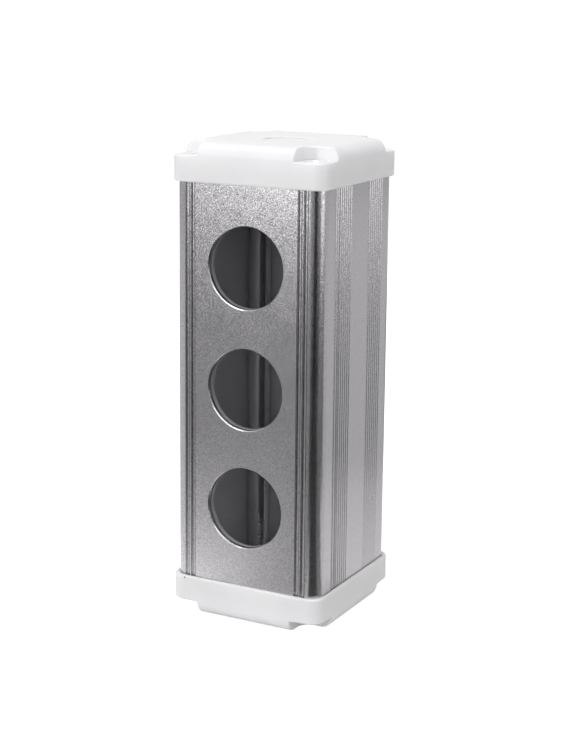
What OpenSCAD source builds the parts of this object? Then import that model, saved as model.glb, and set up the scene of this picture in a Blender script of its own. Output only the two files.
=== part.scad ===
// Empty three-hole pushbutton box: two aluminium extrusions between moulded end caps.
// Millimetres. +Z is up, the front faces -Y, and the origin is under the middle of the bottom cap.

/* [Extrusions] */
// Width of the body across the front
body_w = 50; // [46:0.5:60]
// Depth of the body from front to back
body_d = 50; // [46:0.5:60]
// Length of both extrusions
body_l = 131.6; // [120:0.1:180]
// Radius of the four long outer corners
corner_r = 5; // [4.5:0.5:7]
// Thickness of the front wall, which carries the buttons
front_wall = 3; // [2.2:0.1:4]
// Thickness of the side walls
side_wall = 2.2; // [1.8:0.1:3]
// Thickness of the back wall
back_wall = 2.2; // [1.8:0.1:3]

/* [Button holes] */
// Diameter of a button hole
hole_d = 25; // [22:0.1:26]
// Distance from one button hole to the next
hole_pitch = 37; // [34:0.25:40]
// Number of button holes
hole_count = 3; // [1:1:3]
// Chamfer round the outer edge of a button hole
hole_chamfer = 0.3; // [0.1:0.05:0.5]

/* [Grooves and ribs] */
// Width of a groove on the front
front_groove_w = 1.6; // [1:0.1:1.8]
// Depth of a groove on the front
front_groove_depth = 0.7; // [0.3:0.05:0.9]
// Number of grooves beside each front edge
front_groove_count = 2; // [1:1:3]
// Distance between the grooves on the front
front_groove_pitch = 2; // [1.9:0.05:2.4]
// Distance from the side to the nearest front groove
front_groove_inset = 4.95; // [4.9:0.05:6]
// Width of a groove between the ribs on the sides
rib_groove_w = 1.2; // [0.8:0.1:1.3]
// Depth of a groove between the ribs
rib_groove_depth = 0.22; // [0.1:0.02:0.4]
// Number of grooves in the front band, with the seam
front_rib_count = 8; // [5:1:9]
// Number of grooves in the rear band
rear_rib_count = 7; // [5:1:9]
// Distance between the grooves of a band
rib_pitch = 1.4; // [1.3:0.1:1.6]
// Distance from the front or the back to the nearest groove of a band
rib_inset = 9.5; // [9.2:0.1:11]

/* [Seam between the extrusions] */
// Which groove of the front band is the seam, counted from the front
seam_groove = 3; // [2:1:3]
// Width of the open seam
seam_gap = 0.2; // [0.1:0.05:0.4]
// Clearance round the cover's tongue
tongue_gap = 0.15; // [0.1:0.05:0.3]
// Thickness of the cover's tongue
tongue_t = 1; // [0.8:0.1:1.4]
// How far the tongue reaches behind the seam
tongue_l = 4; // [3:0.25:5]
// How far before the seam the tongue is rooted in the cover's wall
tongue_root = 2.8; // [2:0.1:3]
// Thickness of the hook that holds the tongue
hook_t = 1.2; // [1:0.1:1.6]
// Radius of the bead that locks the tongue
bead_r = 0.4; // [0.2:0.05:0.5]

/* [Screws] */
// Distance from the outer faces to a screw's axis
screw_inset = 5; // [4.6:0.1:5.5]
// Diameter of a screw's shank
screw_d = 3.5; // [3:0.1:4.2]
// Length of a screw below its head
screw_l = 14; // [10:1:20]
// Diameter of a screw's countersunk head
head_d = 6.6; // [5.6:0.1:7.6]
// Height of the cylindrical edge of the head
head_edge = 0.3; // [0.2:0.05:0.5]
// Clearance round the edge of the head
head_gap = 0.1; // [0.05:0.05:0.2]
// Width of the slots of the cross recess
recess_w = 0.9; // [0.6:0.1:1.2]
// Length of the slots of the cross recess
recess_l = 4; // [3:0.1:5]
// Depth of the cross recess
recess_depth = 1.2; // [0.8:0.1:1.5]
// Clearance round a screw in its channel
channel_gap = 0.1; // [0.05:0.05:0.2]
// Thickness of the wall of a screw channel
channel_wall = 1.7; // [1.2:0.1:2]
// Width of the open slot along a screw channel
channel_slot = 2; // [1.4:0.1:2.6]

/* [End caps] */
// Radius of the upright outer corners of a cap
cap_r = 4.5; // [4.5:0.25:7]
// Gap between the skirt and the extrusions
cap_gap = 0.1; // [0.1:0.05:0.5]
// Thickness of the skirt
skirt_t = 0.9; // [0.8:0.05:2]
// How far the skirt reaches over the extrusions
skirt_lap = 4.2; // [3:0.1:6]
// Round on the outside of the skirt's free edge
skirt_round = 0.6; // [0.2:0.05:0.65]
// Round on the inside of the skirt's free edge, which leads the extrusions in
mouth_round = 0.1; // [0.05:0.05:0.15]
// Thickness of the seat that carries the gasket and the screws
seat_t = 3; // [2.8:0.1:4]
// Width of the seat inside the outline of the extrusions
seat_w = 3.4; // [3.2:0.1:4]
// Height of the raised pad
pad_h = 4; // [3:0.1:5]
// Round on the edge of the raised pad
pad_round = 4; // [1:0.1:4]
// Thickness of the plate across the pad
plate_t = 2.2; // [1.8:0.1:3]
// Room between a screw's head and the wall of its notch
notch_gap = 0.5; // [0.2:0.1:1]
// Wall between a notch and the hollow of the cap
notch_wall = 1.8; // [1.4:0.1:2.4]
// Round on the inner corners of the hollow
hollow_r = 3; // [2:0.5:4]
// Diameter of the knock-out in the middle of the pad
knockout_d = 14; // [10:0.5:20]
// Depth of the knock-out
knockout_depth = 0.6; // [0.4:0.1:1]
// Clearance round a screw in its cap
cap_hole_gap = 0.3; // [0.2:0.05:0.5]

/* [Gaskets] */
// Thickness of a gasket
gasket_t = 0.8; // [0.6:0.1:2]
// How far a gasket stays inside the outline of the extrusions
gasket_inset = 0.2; // [0:0.05:0.5]

/* [Wall fixing] */
// Diameter of the fixing holes in the back wall
fix_d = 4.5; // [3.5:0.1:5.5]
// Distance between the two fixing holes
fix_pitch = 100; // [80:1:105]

/* [Hidden] */
$fn = 64;

aluminium = "#C4C5C8";
white_plastic = "#EDEDEE";
black_rubber = "#26282A";
zinc = "#B9BBBE";

// Overlap that lets a cut run clear of the faces it opens
cut = 1;

// Heights of a cap from its outer face: the notch floor, the seat and the free edge of the skirt
notch_z = pad_h;
seat_z = notch_z + seat_t;
cap_h = seat_z + gasket_t + skirt_lap;

// Heights of the whole box
body_z = seat_z + gasket_t;
total_h = body_l + 2 * body_z;
mid_z = total_h / 2;

// Plan of a cap
overhang = cap_gap + skirt_t;
cap_w = body_w + 2 * overhang;
cap_d = body_d + 2 * overhang;
mouth_w = body_w + 2 * cap_gap;
mouth_d = body_d + 2 * cap_gap;
mouth_r = corner_r + cap_gap;
edge_round = min(pad_round, notch_z, cap_r - cut / 2);

// Plan of the screws and the seam
screw_x = body_w / 2 - screw_inset;
screw_y = body_d / 2 - screw_inset;
channel_d = screw_d + 2 * channel_gap;
head_h = (head_d - screw_d) / 2 + head_edge;
notch_r = head_d / 2 + notch_gap;
seam_y = -body_d / 2 + rib_inset + (seam_groove - 1) * rib_pitch;

// Places across the seam joint, as distances from the middle plane
tongue_out_x = body_w / 2 - side_wall - tongue_gap;
tongue_in_x = tongue_out_x - tongue_t;
hook_out_x = tongue_in_x - tongue_gap;
hook_in_x = hook_out_x - hook_t;
tongue_end_y = seam_y + tongue_l;
bead_y = tongue_end_y - 2 * bead_r;

// Plan shapes shared by the pieces

module round_rect(w, d, r) {
    square([w - 2 * r, d], center = true);
    square([w, d - 2 * r], center = true);
    for (sx = [-1, 1], sy = [-1, 1])
        translate([sx * (w / 2 - r), sy * (d / 2 - r)])
            circle(r);
}

module at_screws() {
    for (sx = [-1, 1], sy = [-1, 1])
        translate([sx * screw_x, sy * screw_y])
            rotate(sx * sy > 0 ? (sx > 0 ? 0 : 180) : (sx > 0 ? -90 : 90))
                children();
}

module on_both_sides() {
    children();
    mirror([1, 0])
        children();
}

// Circle that cuts a scallop of this width and depth into a face that looks along +X
module scallop(w, depth) {
    r = (w * w / 4 + depth * depth) / (2 * depth);
    translate([r - depth, 0])
        circle(r);
}

// Scalloped grooves of the front and of the two ribbed bands on each side
module groove_cuts() {
    on_both_sides() {
        for (i = [0 : front_groove_count - 1])
            translate([body_w / 2 - front_groove_inset - i * front_groove_pitch, -body_d / 2])
                rotate(-90)
                    scallop(front_groove_w, front_groove_depth);
        for (i = [0 : front_rib_count - 1])
            translate([body_w / 2, -body_d / 2 + rib_inset + i * rib_pitch])
                scallop(rib_groove_w, rib_groove_depth);
        for (i = [0 : rear_rib_count - 1])
            translate([body_w / 2, body_d / 2 - rib_inset - i * rib_pitch])
                scallop(rib_groove_w, rib_groove_depth);
    }
}

module inner_space() {
    inner_r = corner_r - side_wall;
    inner_d = body_d - front_wall - back_wall;
    translate([0, (front_wall - back_wall) / 2])
        round_rect(body_w - 2 * side_wall, inner_d, inner_r);
}

// Round screw channel in each corner, slotted towards the inside
module channel_rounds() {
    at_screws()
        circle(d = channel_d + 2 * channel_wall);
}

module channel_cuts() {
    slot_l = channel_d / 2 + channel_wall + cut;
    at_screws() {
        circle(d = channel_d);
        rotate(225)
            translate([0, -channel_slot / 2])
                square([slot_l, channel_slot]);
    }
}

// Closed section of both extrusions together, before it is parted at the seam
module whole_section() {
    difference() {
        round_rect(body_w, body_d, corner_r);
        difference() {
            inner_space();
            channel_rounds();
        }
        channel_cuts();
        groove_cuts();
    }
}

module behind(y) {
    translate([-body_w, y])
        square([2 * body_w, 2 * body_d]);
}

module before(y) {
    translate([-body_w, y - 2 * body_d])
        square([2 * body_w, 2 * body_d]);
}

// Tongue of the cover, which runs behind the seam inside the wall of the rear body
module tongue() {
    root_y = seam_y - tongue_root;
    translate([tongue_in_x, root_y])
        square([tongue_t, tongue_end_y - root_y]);
    translate([tongue_in_x, root_y])
        square([body_w / 2 - side_wall / 2 - tongue_in_x, tongue_root - seam_gap / 2]);
    translate([tongue_in_x, bead_y])
        circle(bead_r, $fn = 32);
}

// Hook of the rear body, which closes round the end of the tongue and its bead
module hook() {
    web_y = tongue_end_y + tongue_gap;
    mouth_y = seam_y + seam_gap;
    difference() {
        translate([hook_in_x, mouth_y])
            square([hook_t, web_y + hook_t - mouth_y]);
        translate([tongue_in_x, bead_y])
            circle(bead_r + tongue_gap, $fn = 32);
    }
    translate([hook_in_x, web_y])
        square([body_w / 2 - side_wall / 2 - hook_in_x, hook_t]);
}

// Extrusions

module front_cover() {
    color(aluminium)
        difference() {
            translate([0, 0, body_z])
                linear_extrude(body_l) {
                    intersection() {
                        whole_section();
                        before(seam_y - seam_gap / 2);
                    }
                    on_both_sides()
                        tongue();
                }
            button_holes();
        }
}

module button_holes() {
    for (i = [0 : hole_count - 1])
        translate([0, -body_d / 2, mid_z + (i - (hole_count - 1) / 2) * hole_pitch])
            rotate([-90, 0, 0]) {
                translate([0, 0, -cut])
                    cylinder(d = hole_d, h = front_wall + 2 * cut);
                translate([0, 0, -hole_chamfer])
                    cylinder(d1 = hole_d + 4 * hole_chamfer, d2 = hole_d, h = 2 * hole_chamfer);
            }
}

module rear_body() {
    color(aluminium)
        difference() {
            translate([0, 0, body_z])
                linear_extrude(body_l) {
                    intersection() {
                        whole_section();
                        behind(seam_y + seam_gap / 2);
                    }
                    on_both_sides()
                        hook();
                }
            for (end = [-1, 1])
                translate([0, body_d / 2 - back_wall - cut, mid_z + end * fix_pitch / 2])
                    rotate([-90, 0, 0])
                        cylinder(d = fix_d, h = back_wall + 2 * cut);
        }
}

// End caps, drawn with the outer face down

// Carry a section, drawn from the centre of a corner outwards, round a rectangle with round corners
module carried_round(w, d, r) {
    x = w / 2 - r;
    y = d / 2 - r;
    for (i = [0 : 3]) {
        sx = (i == 0 || i == 3) ? 1 : -1;
        sy = i < 2 ? 1 : -1;
        side = i % 2 == 0 ? y : x;
        translate([sx * x, sy * y, 0])
            rotate(90 * i) {
                rotate_extrude(angle = 90)
                    children();
                rotate([90, 0, 0])
                    linear_extrude(2 * side)
                        children();
            }
    }
}

// Quarter that a round takes off a corner at the far end of both axes
module corner_waste(r) {
    translate([-r, -r])
        difference() {
            square(r + cut);
            circle(r);
        }
}

// Section of a cap's rim, rounded at the outer face and at the free edge of the skirt
module rim_section() {
    difference() {
        square([cap_r, cap_h]);
        mirror([0, 1])
            translate([cap_r, 0])
                corner_waste(edge_round);
        translate([cap_r, cap_h])
            corner_waste(skirt_round);
    }
}

// Section of the room inside the skirt, flared at the free edge
module mouth_section() {
    translate([0, seat_z])
        square([mouth_r, skirt_lap + gasket_t + cut]);
    translate([mouth_r, cap_h])
        mirror([1, 0])
            difference() {
                translate([-mouth_round, -mouth_round])
                    square([2 * mouth_round, mouth_round + cut]);
                translate([-mouth_round, -mouth_round])
                    circle(mouth_round);
            }
}

// Closed tray with a rounded outer face and an open mouth for the extrusions
module cap_tray() {
    difference() {
        union() {
            linear_extrude(cap_h)
                square([cap_w - 2 * cap_r, cap_d - 2 * cap_r], center = true);
            carried_round(cap_w, cap_d, cap_r)
                rim_section();
        }
        translate([0, 0, seat_z])
            linear_extrude(cap_h)
                square([mouth_w - 2 * mouth_r, mouth_d - 2 * mouth_r], center = true);
        carried_round(mouth_w, mouth_d, mouth_r)
            mouth_section();
    }
}

// Clear outline inside the seat, kept off the walls of the notches
module seat_opening() {
    difference() {
        round_rect(body_w - 2 * seat_w, body_d - 2 * seat_w, hollow_r);
        at_screws()
            circle(notch_r + notch_wall);
    }
}

// Plan of a corner notch, open towards both outer faces
module notch_plan() {
    reach = screw_inset + overhang + cut;
    circle(notch_r);
    translate([-notch_r, 0])
        square([notch_r + reach, reach]);
    translate([0, -notch_r])
        square([reach, notch_r + reach]);
}

// Hole for one screw, countersunk for its head, with a short straight edge
module cap_screw_hole() {
    hole = screw_d + 2 * cap_hole_gap;
    bore = head_d + 2 * head_gap;
    bore_depth = head_edge - head_gap;
    translate([0, 0, -cut])
        cylinder(d = hole, h = seat_t + 2 * cut);
    translate([0, 0, -cut])
        cylinder(d = bore, h = bore_depth + cut);
    translate([0, 0, bore_depth])
        cylinder(d1 = bore, d2 = hole, h = (bore - hole) / 2);
}

module end_cap() {
    difference() {
        cap_tray();
        translate([0, 0, plate_t])
            linear_extrude(cap_h)
                seat_opening();
        translate([0, 0, -cut])
            linear_extrude(notch_z + cut)
                at_screws()
                    notch_plan();
        translate([0, 0, notch_z])
            at_screws()
                cap_screw_hole();
        translate([0, 0, -cut])
            cylinder(d = knockout_d, h = knockout_depth + cut);
    }
}

module bottom_cap() {
    color(white_plastic)
        end_cap();
}

module top_cap() {
    color(white_plastic)
        translate([0, 0, total_h])
            mirror([0, 0, 1])
                end_cap();
}

// Gaskets

module gasket() {
    linear_extrude(gasket_t)
        difference() {
            round_rect(body_w - 2 * gasket_inset, body_d - 2 * gasket_inset, corner_r);
            seat_opening();
            at_screws()
                circle(d = screw_d + 2 * cap_hole_gap);
        }
}

module bottom_gasket() {
    color(black_rubber)
        translate([0, 0, seat_z])
            gasket();
}

module top_gasket() {
    color(black_rubber)
        translate([0, 0, total_h - body_z])
            gasket();
}

// Screws, drawn with the head down and its face at zero

module cap_screw() {
    cone_h = head_h - head_edge;
    difference() {
        union() {
            cylinder(d = head_d, h = head_edge);
            translate([0, 0, head_edge])
                cylinder(d1 = head_d, d2 = screw_d, h = cone_h);
            translate([0, 0, head_h])
                cylinder(d = screw_d, h = screw_l);
        }
        for (turn = [0, 90])
            rotate(turn)
                translate([-recess_l / 2, -recess_w / 2, -cut])
                    cube([recess_l, recess_w, recess_depth + cut]);
    }
}

module cap_screws() {
    translate([0, 0, notch_z])
        at_screws()
            cap_screw();
}

module bottom_cap_screws() {
    color(zinc)
        cap_screws();
}

module top_cap_screws() {
    color(zinc)
        translate([0, 0, total_h])
            mirror([0, 0, 1])
                cap_screws();
}

front_cover();
rear_body();
top_cap();
bottom_cap();
top_gasket();
bottom_gasket();
top_cap_screws();
bottom_cap_screws();
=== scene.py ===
"""Looks of the empty pushbutton box: finishes, soft edges, cap screws and the studio around it."""
import math

import bmesh
import bpy
from mathutils import Matrix, Vector


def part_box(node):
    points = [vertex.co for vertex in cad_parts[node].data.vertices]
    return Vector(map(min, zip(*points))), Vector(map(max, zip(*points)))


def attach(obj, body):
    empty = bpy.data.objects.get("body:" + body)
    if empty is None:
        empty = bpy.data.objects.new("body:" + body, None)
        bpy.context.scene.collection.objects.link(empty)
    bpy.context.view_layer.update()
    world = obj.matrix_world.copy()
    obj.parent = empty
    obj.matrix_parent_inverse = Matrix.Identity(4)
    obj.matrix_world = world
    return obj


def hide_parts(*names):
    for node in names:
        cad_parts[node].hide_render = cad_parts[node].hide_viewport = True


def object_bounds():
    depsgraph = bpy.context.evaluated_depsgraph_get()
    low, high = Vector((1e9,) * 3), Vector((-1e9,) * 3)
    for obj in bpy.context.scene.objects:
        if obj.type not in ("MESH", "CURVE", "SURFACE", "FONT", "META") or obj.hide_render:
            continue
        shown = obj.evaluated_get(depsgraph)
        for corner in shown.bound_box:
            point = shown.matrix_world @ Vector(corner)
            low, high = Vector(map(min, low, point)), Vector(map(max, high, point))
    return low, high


bl_info = {
    "name": "Pushbutton Box",
    "version": (1, 0, 0),
    "blender": (4, 5, 0),
    "location": "View3D > Sidebar > Pushbutton Box",
    "description": "Finishes the pushbutton box and sets it in a small studio",
    "category": "Object",
}

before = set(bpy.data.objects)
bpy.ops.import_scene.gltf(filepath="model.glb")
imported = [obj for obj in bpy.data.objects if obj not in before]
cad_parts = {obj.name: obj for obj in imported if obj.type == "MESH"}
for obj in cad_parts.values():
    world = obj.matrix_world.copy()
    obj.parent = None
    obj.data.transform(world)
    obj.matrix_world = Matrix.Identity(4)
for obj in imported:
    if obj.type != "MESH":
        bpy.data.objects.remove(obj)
cad_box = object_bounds()

MM = 0.001
BODY = "root"

# Picture that the camera is matched to, in pixels
PICTURE_LONG_SIDE = 750
SENSOR_MM = 36.0

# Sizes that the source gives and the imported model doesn't state
HEAD_D = 6.6 * MM
KNOCKOUT_REACH = 8.0 * MM
BODY_ROUND = 5.0 * MM

# How deep the blasted skin reaches, and the width over which it turns into the bare inside
SKIN_DEPTH = 1.4 * MM
SKIN_FADE = 0.1 * MM

# Small dark spot painted on the inner edge of the bottom cap's rim by its left front corner: painted shade
# of the gap between the cap and the body
GAP_SHADE_SPOT_PLACE = (-20.6 * MM, -26.0 * MM, 11.3 * MM)
GAP_SHADE_SPOT_R = 0.3 * MM
GAP_SHADE_SPOT_COLOUR = "#7C7874"

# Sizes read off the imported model
TOP_Z = cad_box[1].z
SCREW_LOW, SCREW_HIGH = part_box("bottom_cap_screws")
SCREW_X = SCREW_HIGH.x - HEAD_D / 2
SCREW_Y = SCREW_HIGH.y - HEAD_D / 2
NOTCH_DEPTH = SCREW_LOW.z
BODY_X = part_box("rear_body")[1].x
BODY_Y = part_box("rear_body")[1].y

# An edge that turns more than this is sharp, and faces that turn less than this are one flat face
SHARP_ANGLE = math.radians(30.0)
FLAT_ANGLE = math.radians(0.5)

# Two heights this close are the same, and so are two points this close
CLOSE = 0.03 * MM
SAME_POINT = 0.002 * MM

# An edge of a cap this close to a screw's head belongs to its countersink
COUNTERSINK_REACH = 0.2 * MM

# Range in which a noise texture's values mostly lie, as a Map Range node takes it
NOISE_RANGE = {"From Min": 0.3, "From Max": 0.7}


def linear(hex_colour):
    """Turn an sRGB hex colour into linear red, green and blue."""
    channels = [int(hex_colour[i:i + 2], 16) / 255 for i in (1, 3, 5)]
    return tuple(c / 12.92 if c <= 0.04045 else ((c + 0.055) / 1.055) ** 2.4 for c in channels)


def rgba(colour):
    return (*colour, 1.0)


# Settings that a user would change

class BoxSizes(bpy.types.PropertyGroup):
    """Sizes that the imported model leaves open."""
    notch_edge: bpy.props.FloatProperty(
        name="Notch edge", description="Round along the rim of a corner notch",
        default=0.5 * MM, unit="LENGTH")
    floor_edge: bpy.props.FloatProperty(
        name="Notch floor edge", description="Round along the outer edge of a notch floor",
        default=0.5 * MM, unit="LENGTH")
    small_edge: bpy.props.FloatProperty(
        name="Small edge", description="Round along the edge of the knock-out",
        default=0.25 * MM, unit="LENGTH")
    head_d: bpy.props.FloatProperty(
        name="Screw head", description="Diameter of a cap screw's head", default=HEAD_D, unit="LENGTH")
    head_edge: bpy.props.FloatProperty(
        name="Head edge", description="Height of the cylindrical edge of the head",
        default=0.3 * MM, unit="LENGTH")
    screw_d: bpy.props.FloatProperty(
        name="Screw", description="Diameter of a cap screw over its thread", default=3.5 * MM, unit="LENGTH")
    recess_l: bpy.props.FloatProperty(
        name="Recess length", description="Length of the cross recess in the head",
        default=4.0 * MM, unit="LENGTH")
    recess_w: bpy.props.FloatProperty(
        name="Recess width", description="Width of the slots of the cross recess",
        default=0.9 * MM, unit="LENGTH")
    recess_depth: bpy.props.FloatProperty(
        name="Recess depth", description="Depth of the cross recess", default=1.2 * MM, unit="LENGTH")
    thread_pitch: bpy.props.FloatProperty(
        name="Thread pitch", description="Distance between two turns of a cap screw's thread",
        default=1.4 * MM, unit="LENGTH")
    thread_depth: bpy.props.FloatProperty(
        name="Thread depth", description="Height of a cap screw's thread over its core",
        default=0.45 * MM, unit="LENGTH")


class BoxFinishes(bpy.types.PropertyGroup):
    """Colours of the finishes and the size of the blasted grain."""
    aluminium: bpy.props.FloatVectorProperty(
        name="Aluminium", description="Colour of the anodised extrusions",
        subtype="COLOR", default=linear("#B6B4B7"))
    bare: bpy.props.FloatVectorProperty(
        name="Inside", description="Colour of the extrusions' inner faces, which weren't blasted",
        subtype="COLOR", default=linear("#CFCFD1"))
    plastic: bpy.props.FloatVectorProperty(
        name="Plastic", description="Colour of the end caps",
        subtype="COLOR", default=linear("#F0EFF1"))
    rubber: bpy.props.FloatVectorProperty(
        name="Rubber", description="Colour of the gaskets",
        subtype="COLOR", default=linear("#2A2B2D"))
    zinc: bpy.props.FloatVectorProperty(
        name="Zinc", description="Colour of the cap screws",
        subtype="COLOR", default=linear("#E8E9EA"))
    grain: bpy.props.FloatProperty(
        name="Blasted grain", description="Width of one grain of the sand-blasted surface",
        default=0.14 * MM, unit="LENGTH")
    grain_tilt: bpy.props.FloatProperty(
        name="Grain tilt", description="Share by which the facets of the sand-blasted surface are tipped",
        default=0.036, min=0.0, max=1.0)


class BoxView(bpy.types.PropertyGroup):
    """Where the camera stands."""
    turn: bpy.props.FloatProperty(
        name="Turn", description="How far the camera stands to the right of the front",
        default=math.radians(28.198), subtype="ANGLE")
    height: bpy.props.FloatProperty(
        name="Look down", description="How far the camera looks down",
        default=math.radians(10.822), subtype="ANGLE")
    roll: bpy.props.FloatProperty(
        name="Roll", description="How far the camera is tipped about its own axis",
        default=math.radians(0.523), subtype="ANGLE")
    distance: bpy.props.FloatProperty(
        name="Distance", description="Distance from the camera to the point that it looks at",
        default=519.661 * MM, unit="LENGTH")
    focus_px: bpy.props.FloatProperty(
        name="Focal length in pixels", description="Focal length measured in pixels of the picture",
        default=1675.107)
    target: bpy.props.FloatVectorProperty(
        name="Target", description="Point that the camera looks at",
        default=(-1.186 * MM, 0.0, 96.987 * MM), subtype="XYZ")
    rise: bpy.props.FloatProperty(
        name="Lens shift", description="Shift of the picture against the lens, as a share of its long side",
        default=-0.1)


# Small tools shared by the pieces

def add_node(tree, kind, inputs=None, **settings):
    """Add a node, set its properties, and set or link its inputs by name or number."""
    node = tree.nodes.new(kind)
    for name, value in settings.items():
        setattr(node, name, value)
    for name, value in (inputs or {}).items():
        if isinstance(value, bpy.types.NodeSocket):
            tree.links.new(value, node.inputs[name])
        else:
            node.inputs[name].default_value = value
    return node


def new_material(name):
    """Start an empty material and return it with its node tree."""
    material = bpy.data.materials.new(name)
    material.use_nodes = True
    material.node_tree.nodes.clear()
    return material, material.node_tree


def link_object(name, mesh):
    piece = bpy.data.objects.new(name, mesh)
    bpy.context.scene.collection.objects.link(piece)
    return piece


def bake_modifiers(piece):
    """Replace a piece's mesh by its evaluated one and drop the modifiers."""
    bpy.context.view_layer.update()
    shape = piece.evaluated_get(bpy.context.evaluated_depsgraph_get())
    mesh = bpy.data.meshes.new_from_object(shape)
    piece.modifiers.clear()
    piece.data = mesh


def merged_copy(node, name):
    """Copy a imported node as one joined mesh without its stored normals."""
    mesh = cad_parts[node].data.copy()
    mesh.name = name
    shell = bmesh.new()
    shell.from_mesh(mesh)
    bmesh.ops.remove_doubles(shell, verts=shell.verts, dist=SAME_POINT)
    shell.to_mesh(mesh)
    shell.free()
    if "custom_normal" in mesh.attributes:
        mesh.attributes.remove(mesh.attributes["custom_normal"])
    return link_object(name, mesh)


def paint(piece, material):
    piece.data.materials.clear()
    piece.data.materials.append(material)


def seat(piece, node):
    """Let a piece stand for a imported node."""
    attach(piece, BODY)
    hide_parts(node)


# Materials

def outer_skin(tree, place):
    """One on the outer faces of the extrusions and nothing inside them, from a rounded rectangle."""
    flat = add_node(tree, "ShaderNodeVectorMath", {0: place, 1: (1.0, 1.0, 0.0)}, operation="MULTIPLY")
    side = add_node(tree, "ShaderNodeVectorMath", {0: flat.outputs["Vector"]}, operation="ABSOLUTE")
    past = add_node(tree, "ShaderNodeVectorMath", {
        0: side.outputs["Vector"], 1: (BODY_X - BODY_ROUND, BODY_Y - BODY_ROUND, 0.0)}, operation="SUBTRACT")
    clear = add_node(tree, "ShaderNodeVectorMath", {0: past.outputs["Vector"]}, operation="MAXIMUM")
    reach = add_node(tree, "ShaderNodeVectorMath", {0: clear.outputs["Vector"]}, operation="LENGTH")
    skin = add_node(tree, "ShaderNodeMapRange", {
        "Value": reach.outputs["Value"], "From Min": BODY_ROUND - SKIN_DEPTH - SKIN_FADE,
        "From Max": BODY_ROUND - SKIN_DEPTH})
    return skin.outputs["Result"]


def blasted_aluminium(finishes):
    """Aluminium extrusion, sand-blasted on the outside and clear anodised.

    Outside it is a satin mirror broken up into fine facets: it sparkles where the light ends in an edge, and
    looks smooth where what it mirrors is even. On the front its grain also differs more in tone than on the
    sides. Inside, the metal keeps the paler and duller skin that it left the press with. The real facets are
    finer, and are drawn wide enough to show.
    """
    cloud_width = 9.0 * MM
    front_tone, side_tone = 0.3, 0.1
    bare_roughness = 0.6
    material, tree = new_material("sand_blasted_anodised_aluminium")
    place = add_node(tree, "ShaderNodeTexCoord").outputs["Object"]
    skin = outer_skin(tree, place)
    grain = add_node(tree, "ShaderNodeTexVoronoi", {"Vector": place, "Scale": 1.0 / finishes.grain})
    cloud = add_node(tree, "ShaderNodeTexNoise", {
        "Vector": place, "Scale": 1.0 / cloud_width, "Detail": 3.0})
    depth = add_node(tree, "ShaderNodeSeparateXYZ", {"Vector": place}).outputs["Y"]
    spread = add_node(tree, "ShaderNodeMapRange", {
        "Value": depth, "From Min": BODY_ROUND / 2 - BODY_Y, "From Max": BODY_ROUND - BODY_Y,
        "To Min": front_tone, "To Max": side_tone})
    mottle = add_node(tree, "ShaderNodeMapRange", {
        "Value": grain.outputs["Color"], "From Min": 0.2, "From Max": 0.8, "To Min": -1.0, "To Max": 1.0})
    tone = add_node(tree, "ShaderNodeMath", {
        0: mottle.outputs["Result"], 1: spread.outputs["Result"], 2: 1.0}, operation="MULTIPLY_ADD")
    blasted = add_node(tree, "ShaderNodeVectorMath", {
        0: finishes.aluminium, "Scale": tone.outputs["Value"]}, operation="SCALE")
    colour = add_node(tree, "ShaderNodeMix", {
        "Factor": skin, "A": rgba(finishes.bare), "B": blasted.outputs["Vector"]}, data_type="RGBA")
    rough = add_node(tree, "ShaderNodeMapRange", {
        "Value": cloud.outputs["Fac"], **NOISE_RANGE, "To Min": 0.195, "To Max": 0.225})
    gloss = add_node(tree, "ShaderNodeMix", {
        "Factor": skin, "A": bare_roughness, "B": rough.outputs["Result"]}, data_type="FLOAT")
    tilt = add_node(tree, "ShaderNodeMath", {0: skin, 1: finishes.grain_tilt}, operation="MULTIPLY")
    facets = add_node(tree, "ShaderNodeNormalMap", {
        "Color": grain.outputs["Color"], "Strength": tilt.outputs["Value"]}, space="OBJECT")
    shader = add_node(tree, "ShaderNodeBsdfPrincipled", {
        "Base Color": colour.outputs["Result"], "Metallic": 1.0, "Roughness": gloss.outputs["Result"],
        "Normal": facets.outputs["Normal"]})
    add_node(tree, "ShaderNodeOutputMaterial", {"Surface": shader.outputs["BSDF"]})
    return material


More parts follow.
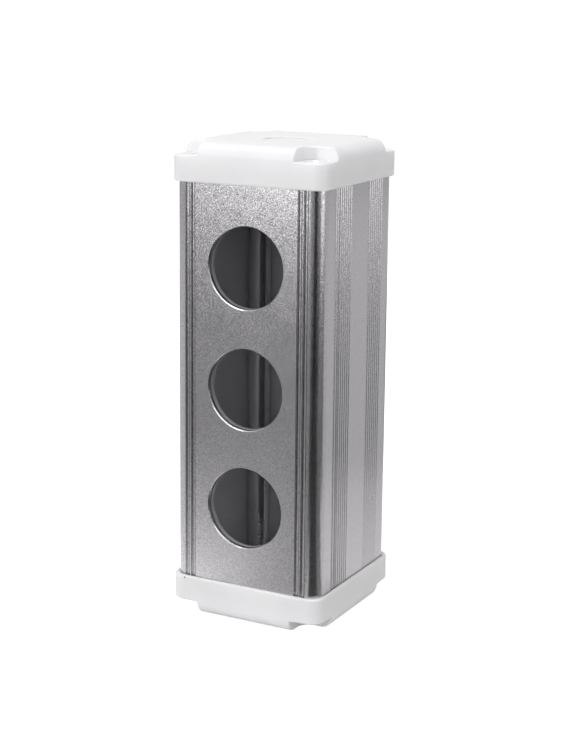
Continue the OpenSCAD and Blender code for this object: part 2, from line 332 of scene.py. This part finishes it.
def moulded_plastic(finishes):
    """White ABS, injection moulded in a lightly textured mould.

    It has a soft even sheen, and light that enters it spreads a little and softens the shadows in the
    notches.
    """
    texture_width = 0.4 * MM
    flow_width = 14.0 * MM
    material, tree = new_material("moulded_white_abs")
    place = add_node(tree, "ShaderNodeTexCoord").outputs["Object"]
    texture = add_node(tree, "ShaderNodeTexNoise", {
        "Vector": place, "Scale": 1.0 / texture_width, "Detail": 2.0})
    flow = add_node(tree, "ShaderNodeTexNoise", {"Vector": place, "Scale": 1.0 / flow_width, "Detail": 2.0})
    tone = add_node(tree, "ShaderNodeMapRange", {
        "Value": flow.outputs["Fac"], **NOISE_RANGE, "To Min": 0.975, "To Max": 1.0})
    clean = add_node(tree, "ShaderNodeVectorMath", {
        0: finishes.plastic, "Scale": tone.outputs["Result"]}, operation="SCALE")
    # Small dark spot on the bottom cap's rim by the left front corner: painted shade of the gap to the body
    off = add_node(tree, "ShaderNodeVectorMath", {0: place, 1: GAP_SHADE_SPOT_PLACE}, operation="DISTANCE")
    speck = add_node(tree, "ShaderNodeMapRange", {
        "Value": off.outputs["Value"], "From Min": 0.6 * GAP_SHADE_SPOT_R, "From Max": 1.3 * GAP_SHADE_SPOT_R,
        "To Min": 1.0, "To Max": 0.0})
    colour = add_node(tree, "ShaderNodeMix", {
        "Factor": speck.outputs["Result"], "A": clean.outputs["Vector"], "B": rgba(linear(GAP_SHADE_SPOT_COLOUR))},
        data_type="RGBA")
    rough = add_node(tree, "ShaderNodeMapRange", {
        "Value": texture.outputs["Fac"], **NOISE_RANGE, "To Min": 0.36, "To Max": 0.46})
    dimples = add_node(tree, "ShaderNodeBump", {
        "Height": texture.outputs["Fac"], "Strength": 1.0, "Distance": 0.003 * MM})
    shader = add_node(tree, "ShaderNodeBsdfPrincipled", {
        "Base Color": colour.outputs["Result"], "Roughness": rough.outputs["Result"], "IOR": 1.53,
        "Subsurface Weight": 0.6, "Subsurface Radius": (1.0, 1.0, 1.0), "Subsurface Scale": 2.0 * MM,
        "Normal": dimples.outputs["Normal"]})
    add_node(tree, "ShaderNodeOutputMaterial", {"Surface": shader.outputs["BSDF"]})
    return material


def gasket_rubber(finishes):
    """EPDM sheet, die-cut, which is nearly black and dull with a faint speckle."""
    speckle_width = 0.5 * MM
    material, tree = new_material("die_cut_epdm")
    place = add_node(tree, "ShaderNodeTexCoord").outputs["Object"]
    speckle = add_node(tree, "ShaderNodeTexNoise", {
        "Vector": place, "Scale": 1.0 / speckle_width, "Detail": 3.0})
    tone = add_node(tree, "ShaderNodeMapRange", {
        "Value": speckle.outputs["Fac"], **NOISE_RANGE, "To Min": 0.7, "To Max": 1.2})
    colour = add_node(tree, "ShaderNodeVectorMath", {
        0: finishes.rubber, "Scale": tone.outputs["Result"]}, operation="SCALE")
    skin = add_node(tree, "ShaderNodeBump", {
        "Height": speckle.outputs["Fac"], "Strength": 1.0, "Distance": 0.01 * MM})
    shader = add_node(tree, "ShaderNodeBsdfPrincipled", {
        "Base Color": colour.outputs["Vector"], "Roughness": 0.75, "Normal": skin.outputs["Normal"]})
    add_node(tree, "ShaderNodeOutputMaterial", {"Surface": shader.outputs["BSDF"]})
    return material


def zinc_plate(finishes):
    """Steel, bright zinc plated, which has a slightly cloudy and uneven shine."""
    cloud_width = 1.2 * MM
    material, tree = new_material("zinc_plated_steel")
    place = add_node(tree, "ShaderNodeTexCoord").outputs["Object"]
    cloud = add_node(tree, "ShaderNodeTexNoise", {
        "Vector": place, "Scale": 1.0 / cloud_width, "Detail": 3.0})
    tone = add_node(tree, "ShaderNodeMapRange", {
        "Value": cloud.outputs["Fac"], **NOISE_RANGE, "To Min": 0.92, "To Max": 1.0})
    colour = add_node(tree, "ShaderNodeVectorMath", {
        0: finishes.zinc, "Scale": tone.outputs["Result"]}, operation="SCALE")
    rough = add_node(tree, "ShaderNodeMapRange", {
        "Value": cloud.outputs["Fac"], **NOISE_RANGE, "To Min": 0.4, "To Max": 0.5})
    shader = add_node(tree, "ShaderNodeBsdfPrincipled", {
        "Base Color": colour.outputs["Vector"], "Metallic": 1.0, "Roughness": rough.outputs["Result"]})
    add_node(tree, "ShaderNodeOutputMaterial", {"Surface": shader.outputs["BSDF"]})
    return material


# Pieces

class BOX_OT_extrusions(bpy.types.Operator):
    """Give both aluminium extrusions their blasted finish."""
    bl_idname = "pushbutton_box.extrusions"
    bl_label = "Finish Extrusions"

    def execute(self, context):
        finish = blasted_aluminium(context.scene.box_finishes)
        for node in ("front_cover", "rear_body"):
            paint(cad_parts[node], finish)
        return {"FINISHED"}


def cap_edge_width(edge, outer_z, sizes):
    """Width of the round along an edge of a cap, or nothing where the edge stays as it is."""
    if len(edge.link_faces) != 2 or edge.calc_face_angle_signed() < SHARP_ANGLE:
        return 0.0
    middle = (edge.verts[0].co + edge.verts[1].co) / 2
    depth = abs(middle.z - outer_z)
    from_screw = math.hypot(abs(middle.x) - SCREW_X, abs(middle.y) - SCREW_Y)
    from_middle = math.hypot(middle.x, middle.y)
    if depth > NOTCH_DEPTH + CLOSE or from_screw < sizes.head_d / 2 + COUNTERSINK_REACH:
        return 0.0
    if from_middle < KNOCKOUT_REACH:
        return sizes.small_edge
    if depth > NOTCH_DEPTH - CLOSE:
        return sizes.floor_edge
    return sizes.notch_edge


def soften_cap(cap, outer_z, sizes):
    """Round the rims of the notches, the edges of their floors and the knock-out."""
    widest = max(sizes.notch_edge, sizes.floor_edge, sizes.small_edge)
    shell = bmesh.new()
    shell.from_mesh(cap.data)
    bmesh.ops.dissolve_limit(shell, angle_limit=FLAT_ANGLE, verts=shell.verts, edges=shell.edges)
    weight = shell.edges.layers.float.new("bevel_weight_edge")
    for edge in shell.edges:
        edge[weight] = cap_edge_width(edge, outer_z, sizes) / widest
    shell.to_mesh(cap.data)
    shell.free()
    cap.data.shade_smooth()
    cap.data.set_sharp_from_angle(angle=SHARP_ANGLE)
    bevel = cap.modifiers.new("soft edges", "BEVEL")
    bevel.limit_method = "WEIGHT"
    bevel.width = widest
    bevel.segments = 4
    bevel.use_clamp_overlap = False
    shading = cap.modifiers.new("even shading", "WEIGHTED_NORMAL")
    shading.keep_sharp = True
    bake_modifiers(cap)


class BOX_OT_end_caps(bpy.types.Operator):
    """Make the two white end caps with softened edges."""
    bl_idname = "pushbutton_box.end_caps"
    bl_label = "Make End Caps"

    def execute(self, context):
        finish = moulded_plastic(context.scene.box_finishes)
        for node, outer_z in (("top_cap", TOP_Z), ("bottom_cap", 0.0)):
            cap = merged_copy(node, node + "_moulding")
            soften_cap(cap, outer_z, context.scene.box_sizes)
            paint(cap, finish)
            seat(cap, node)
        return {"FINISHED"}


class BOX_OT_gaskets(bpy.types.Operator):
    """Give both gaskets their rubber."""
    bl_idname = "pushbutton_box.gaskets"
    bl_label = "Finish Gaskets"

    def execute(self, context):
        finish = gasket_rubber(context.scene.box_finishes)
        for node in ("top_gasket", "bottom_gasket"):
            paint(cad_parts[node], finish)
        return {"FINISHED"}


def screw_profile(sizes, length):
    """Rings of a self-tapping screw as height, core radius and thread height, from the rim of its face."""
    head_r = sizes.head_d / 2
    core_r = sizes.screw_d / 2 - sizes.thread_depth
    neck_z = sizes.head_edge + head_r - core_r
    face_edge = 0.1 * MM
    tip_l = 3.0 * MM
    tip_share = 0.15
    rings_per_turn = 8
    rings = [(0.0, head_r - face_edge, 0.0), (face_edge, head_r, 0.0), (sizes.head_edge, head_r, 0.0),
             (neck_z, core_r, 0.0)]
    step = sizes.thread_pitch / rings_per_turn
    z = neck_z + step
    while z < length - step:
        grown = min(1.0, (z - neck_z) / sizes.thread_pitch)
        left = min(1.0, (length - z) / tip_l)
        rings.append((z, core_r * max(tip_share, left), sizes.thread_depth * grown * left))
        z += step
    return rings


def screw_mesh(sizes, length):
    """One countersunk screw with its face at zero, its thread and no recess yet."""
    around_count = 28
    flank_slope = 1.8
    screw = bmesh.new()
    rows = []
    for z, core_r, thread in screw_profile(sizes, length):
        row = []
        for i in range(around_count):
            share = i / around_count
            phase = (z / sizes.thread_pitch - share) % 1.0
            r = core_r + thread * max(0.0, 1.0 - abs(2.0 * phase - 1.0) * flank_slope)
            turn = 2.0 * math.pi * share
            row.append(screw.verts.new((r * math.cos(turn), r * math.sin(turn), z)))
        rows.append(row)
    for low, high in zip(rows, rows[1:]):
        for i in range(around_count):
            j = (i + 1) % around_count
            screw.faces.new((low[i], low[j], high[j], high[i]))
    screw.faces.new(list(reversed(rows[0])))
    tip = screw.verts.new((0.0, 0.0, length))
    for i in range(around_count):
        screw.faces.new((rows[-1][i], rows[-1][(i + 1) % around_count], tip))
    mesh = bpy.data.meshes.new("cap_screw")
    screw.to_mesh(mesh)
    screw.free()
    return mesh


def recess_mesh(sizes):
    """Tapered cross that cuts the recess in a screw's head."""
    start_z = -0.2 * MM
    start_share, floor_share = 1.05, 0.55
    rows = []
    cutter = bmesh.new()
    for z, share in ((start_z, start_share), (sizes.recess_depth, floor_share)):
        reach = sizes.recess_l / 2 * share
        half = sizes.recess_w / 2 * (0.5 + share / 2)
        row = []
        for quarter in range(4):
            turn = Matrix.Rotation(quarter * math.pi / 2, 2)
            for corner in ((reach, -half), (reach, half), (half, half)):
                row.append(cutter.verts.new((*(turn @ Vector(corner)), z)))
        rows.append(row)
    count = len(rows[0])
    for i in range(count):
        j = (i + 1) % count
        cutter.faces.new((rows[0][i], rows[0][j], rows[1][j], rows[1][i]))
    cutter.faces.new(list(reversed(rows[0])))
    cutter.faces.new(rows[1])
    bmesh.ops.recalc_face_normals(cutter, faces=cutter.faces)
    mesh = bpy.data.meshes.new("cross_recess")
    cutter.to_mesh(mesh)
    cutter.free()
    return mesh


def make_screw(sizes):
    """Cut the cross recess into one screw."""
    screw = link_object("cap_screw", screw_mesh(sizes, SCREW_HIGH.z - SCREW_LOW.z))
    cutter = link_object("cross_recess", recess_mesh(sizes))
    cut = screw.modifiers.new("cross recess", "BOOLEAN")
    cut.operation = "DIFFERENCE"
    cut.solver = "EXACT"
    cut.object = cutter
    bake_modifiers(screw)
    bpy.data.objects.remove(cutter)
    screw.data.shade_smooth()
    screw.data.set_sharp_from_angle(angle=SHARP_ANGLE)
    return screw


def screw_set_tree():
    """Node tree that puts one screw on each corner of a rectangle, each turned its own way."""
    tree = bpy.data.node_groups.new("cap screw set", "GeometryNodeTree")
    face = tree.interface
    face.new_socket("Screw", in_out="INPUT", socket_type="NodeSocketObject")
    face.new_socket("Spacing X", in_out="INPUT", socket_type="NodeSocketFloat")
    face.new_socket("Spacing Y", in_out="INPUT", socket_type="NodeSocketFloat")
    face.new_socket("Seed", in_out="INPUT", socket_type="NodeSocketInt")
    face.new_socket("Material", in_out="INPUT", socket_type="NodeSocketMaterial")
    face.new_socket("Geometry", in_out="OUTPUT", socket_type="NodeSocketGeometry")
    given = add_node(tree, "NodeGroupInput").outputs
    corners = add_node(tree, "GeometryNodeMeshGrid", {
        "Size X": given["Spacing X"], "Size Y": given["Spacing Y"], "Vertices X": 2, "Vertices Y": 2})
    screw = add_node(tree, "GeometryNodeObjectInfo", {"Object": given["Screw"]})
    turn = add_node(tree, "FunctionNodeRandomValue", {
        "Min": (0.0, 0.0, 0.0), "Max": (0.0, 0.0, math.pi / 2), "Seed": given["Seed"]},
        data_type="FLOAT_VECTOR")
    copies = add_node(tree, "GeometryNodeInstanceOnPoints", {
        "Points": corners.outputs["Mesh"], "Instance": screw.outputs["Geometry"],
        "Rotation": turn.outputs["Value"]})
    real = add_node(tree, "GeometryNodeRealizeInstances", {"Geometry": copies.outputs["Instances"]})
    plated = add_node(tree, "GeometryNodeSetMaterial", {
        "Geometry": real.outputs["Geometry"], "Material": given["Material"]})
    add_node(tree, "NodeGroupOutput", {"Geometry": plated.outputs["Geometry"]})
    return tree


def fill_inputs(modifier, values):
    """Set a node modifier's inputs, which go by identifier, from their names."""
    for item in modifier.node_group.interface.items_tree:
        if item.in_out == "INPUT" and item.name in values:
            modifier[item.identifier] = values[item.name]


class BOX_OT_cap_screws(bpy.types.Operator):
    """Make the four screws of each end cap."""
    bl_idname = "pushbutton_box.cap_screws"
    bl_label = "Make Cap Screws"

    def execute(self, context):
        sizes = context.scene.box_sizes
        finish = zinc_plate(context.scene.box_finishes)
        screw = make_screw(sizes)
        tree = screw_set_tree()
        lower = Matrix.Translation((0.0, 0.0, SCREW_LOW.z))
        upper = Matrix.Translation((0.0, 0.0, TOP_Z)) @ Matrix.Rotation(math.pi, 4, "X") @ lower
        for seed, node, place in ((1, "bottom_cap_screws", lower), (2, "top_cap_screws", upper)):
            group = link_object(node + "_plated", bpy.data.meshes.new(node + "_plated"))
            modifier = group.modifiers.new("cap screw set", "NODES")
            modifier.node_group = tree
            fill_inputs(modifier, {"Screw": screw, "Spacing X": 2 * SCREW_X, "Spacing Y": 2 * SCREW_Y,
                                   "Seed": seed, "Material": finish})
            bake_modifiers(group)
            group.data.transform(place)
            seat(group, node)
        bpy.data.objects.remove(screw)
        return {"FINISHED"}


# Studio

def seen_directly(tree):
    """One for camera, glossy and transmission rays, and nothing for the light that falls on the object."""
    path = add_node(tree, "ShaderNodeLightPath")
    mirror = add_node(tree, "ShaderNodeMath", {
        0: path.outputs["Is Camera Ray"], 1: path.outputs["Is Glossy Ray"]}, operation="MAXIMUM")
    both = add_node(tree, "ShaderNodeMath", {
        0: mirror.outputs["Value"], 1: path.outputs["Is Transmission Ray"]}, operation="MAXIMUM")
    return both.outputs["Value"]


def white_world(scene, light_level):
    """White to the eye and to mirrors, and a soft even light for everything else."""
    world = bpy.data.worlds.new("white_studio")
    scene.world = world
    world.use_nodes = True
    tree = world.node_tree
    tree.nodes.clear()
    strength = add_node(tree, "ShaderNodeMapRange", {
        "Value": seen_directly(tree), "To Min": light_level, "To Max": 1.0})
    sky = add_node(tree, "ShaderNodeBackground", {
        "Color": rgba(linear("#FFFFFF")), "Strength": strength.outputs["Result"]})
    add_node(tree, "ShaderNodeOutputWorld", {"Surface": sky.outputs["Background"]})


def white_floor(size, paper_colour, lift, mirrored_lift):
    """Plain pale floor that keeps the shadow, lifted to white where it is seen or mirrored."""
    bpy.ops.mesh.primitive_plane_add(size=size)
    floor = bpy.context.object
    floor.name = "floor"
    material, tree = new_material("pale_paper_floor")
    paper = add_node(tree, "ShaderNodeBsdfDiffuse", {"Color": rgba(linear(paper_colour))})
    path = add_node(tree, "ShaderNodeLightPath")
    mirrored = add_node(tree, "ShaderNodeMath", {
        0: path.outputs["Is Glossy Ray"], 1: path.outputs["Is Transmission Ray"]}, operation="MAXIMUM")
    mirror_glow = add_node(tree, "ShaderNodeMath", {
        0: mirrored.outputs["Value"], 1: mirrored_lift}, operation="MULTIPLY")
    strength = add_node(tree, "ShaderNodeMath", {
        0: path.outputs["Is Camera Ray"], 1: lift, 2: mirror_glow.outputs["Value"]},
        operation="MULTIPLY_ADD")
    glow = add_node(tree, "ShaderNodeEmission", {"Strength": strength.outputs["Value"]})
    both = add_node(tree, "ShaderNodeAddShader", {0: paper.outputs["BSDF"], 1: glow.outputs["Emission"]})
    add_node(tree, "ShaderNodeOutputMaterial", {"Surface": both.outputs["Shader"]})
    paint(floor, material)


def around(azimuth, radius, z):
    """Point at an angle to the right of the front, a distance from the box's middle and a height."""
    turn = math.radians(azimuth)
    return Vector((radius * math.sin(turn), -radius * math.cos(turn), z))


def area_lamp(name, place, width, height, power):
    """Lamp that the camera doesn't see and that looks straight down until it is turned."""
    lamp = bpy.data.lights.new(name, "AREA")
    lamp.shape = "RECTANGLE"
    lamp.size = width
    lamp.size_y = height
    lamp.energy = power
    holder = bpy.data.objects.new(name, lamp)
    bpy.context.scene.collection.objects.link(holder)
    holder.location = place
    holder.visible_camera = False
    return holder


def softbox(name, azimuth, radius, low, high, width, radiance):
    """Upright soft lamp that faces the box."""
    height = high - low
    place = around(azimuth, radius, (low + high) / 2)
    holder = area_lamp(name, place, width, height, radiance * math.pi * width * height)
    holder.rotation_euler = (math.radians(90.0), 0.0, math.radians(azimuth))


def overhead_lamp(place, width, radiance):
    """Square soft lamp above the box."""
    area_lamp("overhead_lamp", place, width, width, radiance * math.pi * width * width)


def hole_lamp(place, aim, width, spread, power):
    """Small lamp with a narrow beam that shines through a button hole onto the inside of the bottom cap."""
    holder = area_lamp("hole_lamp", place, width, width, power)
    holder.data.spread = spread
    holder.rotation_euler = (Vector(aim) - place).to_track_quat("-Z", "Y").to_euler()
    holder.visible_glossy = False


def mirror_glow_card(name, from_azimuth, to_azimuth, rows):
    """Bent card that glows with its shade and that only mirrors see: a painted reflection, bright where a
    lamp or white card would show and dark where a flag keeps glare off metal.

    Each row is a distance from the box, a height, and the shade at the row's start and end. The shade
    changes evenly along a row and from one row to the next.
    """
    steps = 24
    card = bmesh.new()
    shade = card.verts.layers.float.new("shade")
    rings = []
    for radius, z, start_shade, end_shade in rows:
        ring = []
        for i in range(steps + 1):
            share = i / steps
            azimuth = from_azimuth + (to_azimuth - from_azimuth) * share
            corner = card.verts.new(around(azimuth, radius, z))
            corner[shade] = start_shade + (end_shade - start_shade) * share
            ring.append(corner)
        rings.append(ring)
    for inner, outer in zip(rings, rings[1:]):
        for i in range(steps):
            card.faces.new((inner[i], inner[i + 1], outer[i + 1], outer[i]))
    mesh = bpy.data.meshes.new(name)
    card.to_mesh(mesh)
    card.free()
    sheet = link_object(name, mesh)
    material, tree = new_material(name + "_paper")
    # The card glows with its shade instead of being lit: a painted reflection that only mirrors see
    grey = add_node(tree, "ShaderNodeAttribute", attribute_name="shade")
    glow = add_node(tree, "ShaderNodeEmission", {"Strength": grey.outputs["Fac"]})
    add_node(tree, "ShaderNodeOutputMaterial", {"Surface": glow.outputs["Emission"]})
    paint(sheet, material)
    sheet.visible_camera = False
    sheet.visible_diffuse = False
    sheet.visible_shadow = False
    sheet.visible_transmission = False


# Heights of the cards on the floor: where two of them overlap, the higher one shows
LOWEST_CARD_Z = 0.4 * MM
CARD_Z = 0.5 * MM
FOOT_CARD_Z = 0.7 * MM
HIGHEST_CARD_Z = 0.8 * MM


def even(radius, shade, z=CARD_Z):
    """Row of a card with one shade all along."""
    return radius, z, shade, shade


def ramp(radius, start_shade, end_shade):
    """Row of a card whose shade changes from its start to its end."""
    return radius, CARD_Z, start_shade, end_shade


# Name of each card, where it starts and ends in degrees to the right of the front, and its rows in metres
# Each card glows with its shades, so the metal mirrors painted light and dark bands
CARDS = (
    ("pale_card_left", -100.0, -62.0, (
        even(0.05, 1.45), even(0.12, 0.95), even(0.22, 0.8), even(0.98, 0.76))),
    ("pale_card_ramp", -62.0, -46.0, (
        even(0.05, 1.45), ramp(0.12, 0.95, 0.84), ramp(0.22, 0.8, 0.39), ramp(0.98, 0.76, 0.3))),
    ("grey_card_left", -46.0, -31.0, (
        even(0.05, 1.45), even(0.12, 0.84), even(0.22, 0.39), even(0.98, 0.3))),
    ("grey_card_ramp", -31.0, -8.0, (
        ramp(0.05, 1.45, 0.64), ramp(0.12, 0.84, 0.36), ramp(0.22, 0.39, 0.25), ramp(0.98, 0.3, 0.23))),
    ("grey_card_front", -8.0, 18.0, (
        ramp(0.05, 0.64, 0.55), ramp(0.22, 0.25, 0.27), ramp(0.98, 0.23, 0.27))),
    ("pale_card_foot", 20.0, 30.0, (even(0.05, 1.0, FOOT_CARD_Z), even(0.13, 0.3, FOOT_CARD_Z))),
    ("black_card", 18.0, 66.0, (even(0.05, 0.08), even(0.3, 0.02), even(0.8, 0.02))),
    ("black_screen", 31.0, 54.0, (even(0.8, 0.03, z=0.0), even(0.82, 0.03, z=0.4))),
    ("bright_card_high", 15.0, 72.0, (
        even(0.8, 2.0, z=0.45), even(0.62, 2.2, z=0.75), even(0.42, 2.2, z=0.98))),
    ("grey_card_right", 66.0, 108.0, (even(0.05, 0.32), even(0.22, 0.17), even(0.98, 0.17))),
    ("white_card_right", 90.0, 215.0, (even(0.045, 1.0, HIGHEST_CARD_Z), even(0.16, 0.8, HIGHEST_CARD_Z))),
    ("pale_card_right", 108.0, 175.0, (even(0.16, 0.68, LOWEST_CARD_Z), even(1.1, 0.84, LOWEST_CARD_Z))),
    ("grey_card_back", 170.0, 240.0, (even(0.16, 0.25), even(0.3, 0.08), even(0.6, 0.08))),
)


def place_camera(scene, view):
    """Put the camera where the picture was taken from."""
    back = Vector((math.sin(view.turn) * math.cos(view.height), -math.cos(view.turn) * math.cos(view.height),
                   math.sin(view.height)))
    right = Vector((math.cos(view.turn), math.sin(view.turn), 0.0))
    up = back.cross(right)
    tipped_right = math.cos(view.roll) * right + math.sin(view.roll) * up
    tipped_up = math.cos(view.roll) * up - math.sin(view.roll) * right
    turn = Matrix((tipped_right, tipped_up, back)).transposed()
    lens = bpy.data.cameras.new("camera")
    lens.sensor_width = SENSOR_MM
    lens.lens = view.focus_px * SENSOR_MM / PICTURE_LONG_SIDE
    lens.shift_y = view.rise
    lens.clip_start = 0.01
    lens.clip_end = 100.0
    camera = bpy.data.objects.new("camera", lens)
    scene.collection.objects.link(camera)
    camera.matrix_world = Matrix.Translation(Vector(view.target) + view.distance * back) @ turn.to_4x4()
    scene.camera = camera


class BOX_OT_stage(bpy.types.Operator):
    """Set up the camera, the white floor, the lamps and the cards."""
    bl_idname = "pushbutton_box.stage"
    bl_label = "Set Up Stage"

    def execute(self, context):
        scene = context.scene
        scene.view_settings.view_transform = "Standard"
        place_camera(scene, scene.box_view)
        white_world(scene, light_level=0.36)
        white_floor(size=30.0, paper_colour="#DCDCDC", lift=0.78, mirrored_lift=0.22)
        softbox("left_softbox", azimuth=-12.6, radius=1.0, low=0.042, high=0.58, width=0.63, radiance=3.9)
        softbox("right_strip", azimuth=89.0, radius=0.8, low=0.01, high=0.6, width=0.38, radiance=1.95)
        overhead_lamp(place=(-0.1, -0.12, 0.95), width=0.6, radiance=3.6)
        hole_lamp(place=around(azimuth=-18.0, radius=0.41, z=0.36), aim=(0.0, -0.025, 0.039),
                  width=0.012, spread=math.radians(5.0), power=0.0035)
        for card in CARDS:
            mirror_glow_card(*card)
        return {"FINISHED"}


class BOX_PT_panel(bpy.types.Panel):
    """Lists the steps that finish the box."""
    bl_idname = "BOX_PT_panel"
    bl_label = "Pushbutton Box"
    bl_space_type = "VIEW_3D"
    bl_region_type = "UI"
    bl_category = "Pushbutton Box"

    def draw(self, context):
        for step in STEPS:
            self.layout.operator(step.bl_idname)


STEPS = (BOX_OT_extrusions, BOX_OT_end_caps, BOX_OT_gaskets, BOX_OT_cap_screws, BOX_OT_stage)
SETTINGS = {"box_sizes": BoxSizes, "box_finishes": BoxFinishes, "box_view": BoxView}
CLASSES = (*SETTINGS.values(), *STEPS, BOX_PT_panel)


def register():
    for cls in CLASSES:
        bpy.utils.register_class(cls)
    for name, group in SETTINGS.items():
        setattr(bpy.types.Scene, name, bpy.props.PointerProperty(type=group))


def unregister():
    for name in SETTINGS:
        delattr(bpy.types.Scene, name)
    for cls in reversed(CLASSES):
        bpy.utils.unregister_class(cls)


def main():
    register()
    bpy.ops.pushbutton_box.extrusions()
    bpy.ops.pushbutton_box.end_caps()
    bpy.ops.pushbutton_box.gaskets()
    bpy.ops.pushbutton_box.cap_screws()
    bpy.ops.pushbutton_box.stage()


if __name__ == "__main__":
    main()
